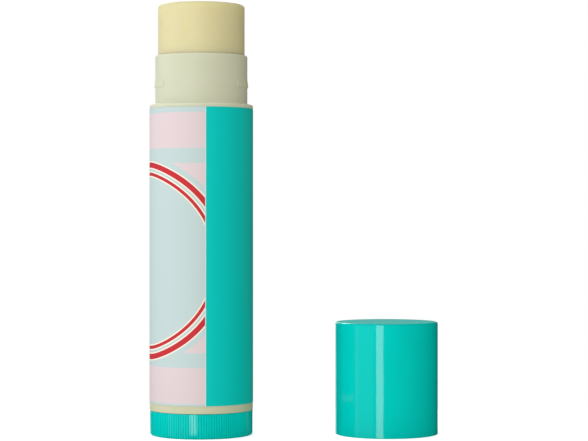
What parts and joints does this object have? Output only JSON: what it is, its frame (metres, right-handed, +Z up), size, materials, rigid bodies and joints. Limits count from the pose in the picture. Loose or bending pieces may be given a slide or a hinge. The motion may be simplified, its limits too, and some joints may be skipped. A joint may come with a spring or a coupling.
{
  "type": "lip balm stick",
  "caption": "Lip balm stick with a translucent barrel in a printed wrap, a ribbed turn wheel and screw that raise the balm, and a push-on cap taken off beside it.",
  "frame": {"origin": "on the barrel's axis, at the middle of the turn wheel's flat base, on the surface that the stick stands on", "axes": "+Z up along the barrel, from the turn wheel to the balm; +X from the barrel towards the cap that stands beside it; +Y away from the front, the side that shows the wrap's seam"},
  "size_m": [0.0448, 0.017, 0.0666],
  "materials": {
    "natural_plastic": "satin",
    "printed_film": "satin",
    "teal_plastic": "gloss",
    "balm_wax": "satin"
  },
  "bodies": {
    "barrel": {"barrel": "natural_plastic", "wrap_label": "printed_film"},
    "drive": {"turn_wheel": "teal_plastic", "lead_screw": "natural_plastic"},
    "lift": {"carrier": "natural_plastic", "balm": "balm_wax"},
    "cap": {"cap": "teal_plastic"}
  },
  "joints": [
    {"name": "wheel_turn", "type": "hinge", "parent": "barrel", "child": "drive", "pos_m": [0, 0, 0], "axis": [0, 0, 1], "range_deg": [-900, 3420]},
    {"name": "balm_rise", "type": "slide", "parent": "barrel", "child": "lift", "axis": [0, 0, 1], "range_m": [-0.008, 0.0304]},
    {"name": "cap_lift", "type": "slide", "parent": "barrel", "child": "cap", "axis": [0, 0, 1], "range_m": [0, 0.07]}
  ],
  "couplings": [
    {"joint": "wheel_turn", "follows": "balm_rise", "rad_per_m": 1963.5}
  ]
}
